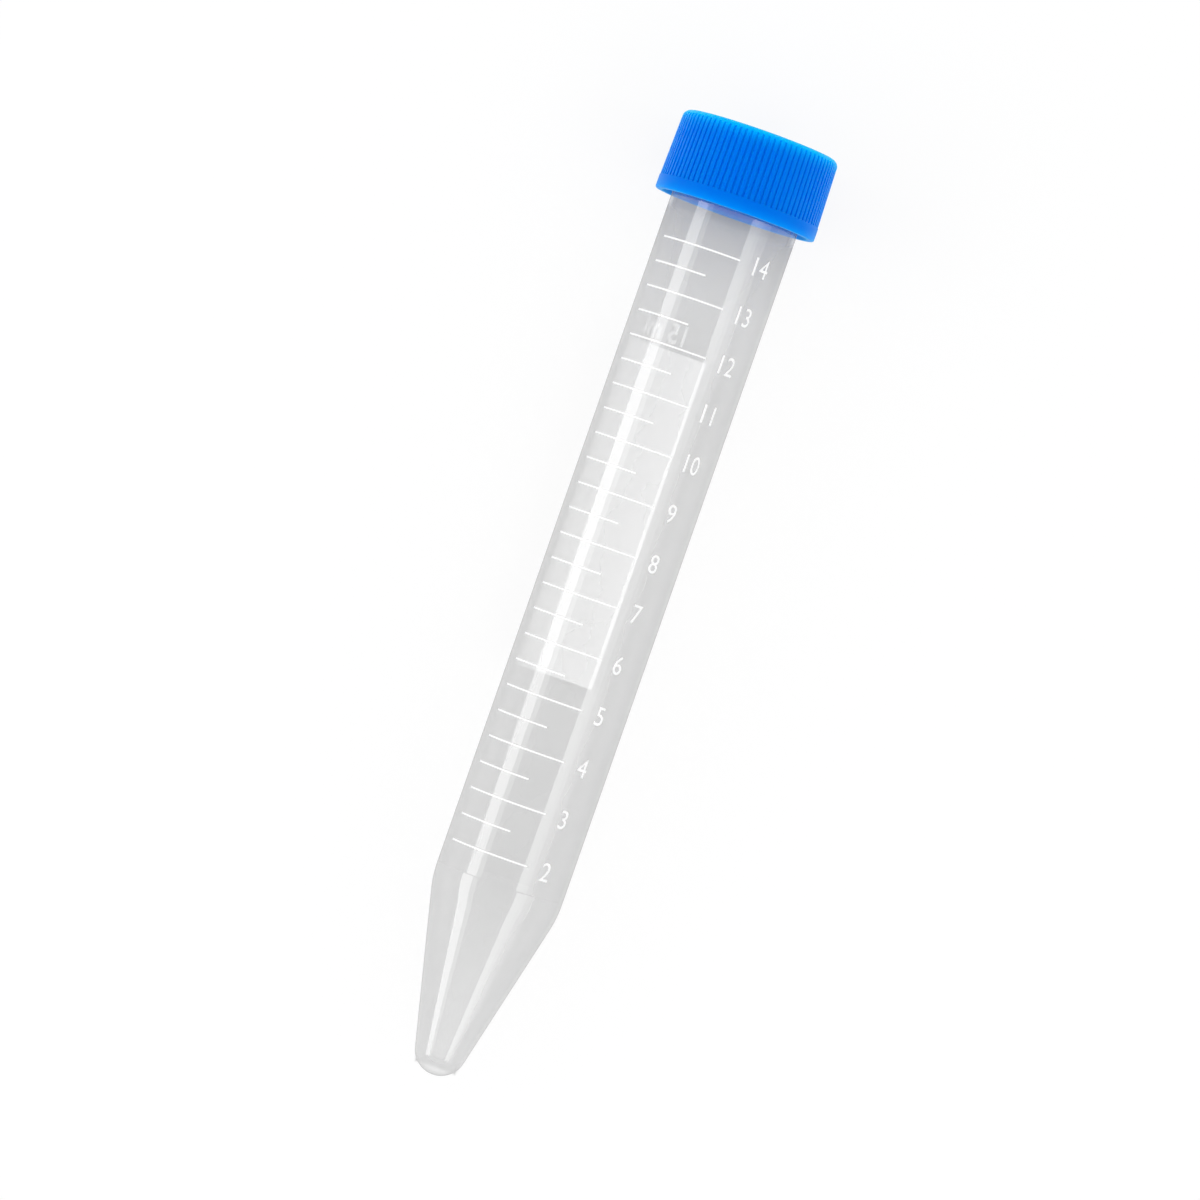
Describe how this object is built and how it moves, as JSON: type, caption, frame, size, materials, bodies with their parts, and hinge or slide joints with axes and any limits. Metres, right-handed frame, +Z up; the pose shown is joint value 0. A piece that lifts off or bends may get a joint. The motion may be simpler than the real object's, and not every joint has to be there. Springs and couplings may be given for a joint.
{
  "type": "conical centrifuge tube",
  "caption": "Clear plastic centrifuge tube with a conical tip, printed millilitre scale, writing panel and ribbed blue screw cap.",
  "frame": {"origin": "on the surface that the tube lies on, under the middle of its box", "axes": "+Z up, out of the graduated front; the tube's axis runs along X with the cap at +X, leaning up towards the cap by 1.419 degrees because the cap's edge is wider than the barrel; the numbers are on the -Y side"},
  "size_m": [0.1204, 0.0202, 0.0203],
  "materials": {
    "clear_plastic": "smooth translucent polypropylene, slightly cloudy",
    "blue_plastic": "satin moulded polyethylene",
    "white_plastic": "soft white liner",
    "white_ink": "flat screen-printed ink"
  },
  "bodies": {
    "tube": {"tube": "clear_plastic", "scale_lines": "white_ink", "scale_numbers": "white_ink", "writing_panel": "white_ink"},
    "seal": {"seal_disc": "white_plastic"},
    "cap": {"cap": "blue_plastic"}
  },
  "joints": [
    {"name": "cap_lift", "type": "slide", "parent": "tube", "child": "seal", "axis": [0.9997, 0, 0.0248], "range_m": [0, 0.01202]},
    {"name": "cap_turn", "type": "hinge", "parent": "seal", "child": "cap", "pos_m": [0.04982, 0, 0.01012], "axis": [0.9997, 0, 0.0248], "range_deg": [0, 1440]}
  ],
  "couplings": [
    {"joint": "cap_lift", "follows": "cap_turn", "m_per_rad": 0.00047746}
  ]
}
